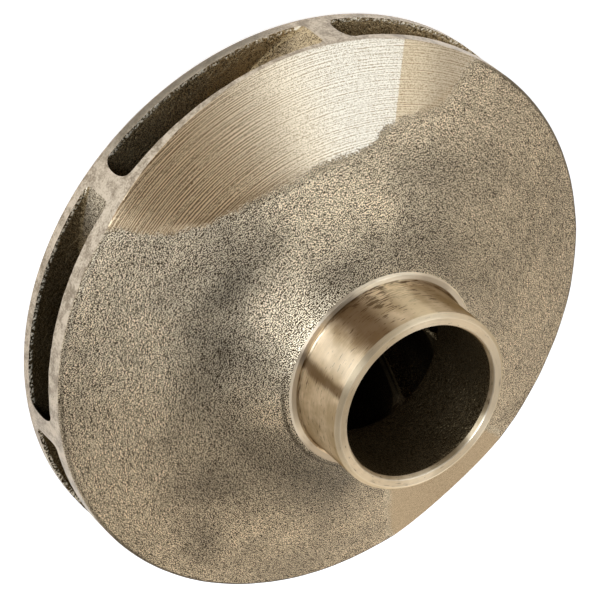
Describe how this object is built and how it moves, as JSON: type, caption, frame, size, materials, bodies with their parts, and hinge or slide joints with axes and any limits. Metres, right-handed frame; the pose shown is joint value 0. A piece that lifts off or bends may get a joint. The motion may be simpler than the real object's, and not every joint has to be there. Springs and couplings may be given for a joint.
{
  "type": "closed radial pump impeller",
  "caption": "One-piece bronze casting: closed radial pump impeller with curved vanes between two shrouds, a turned inlet neck and a keyed shaft bore.",
  "frame": {"origin": "on the shaft axis, at the rear hub face that the part rests on", "axes": "+Z along the shaft axis from the rear hub face towards the eye; +X and +Y across it, with the keyway at +X"},
  "size_m": [0.175, 0.175, 0.0756],
  "materials": {
    "cast_bronze": "sand-cast bronze skin, with turned neck, rim and balance cuts"
  },
  "bodies": {
    "root": {"impeller_casting": "cast_bronze"}
  },
  "joints": []
}
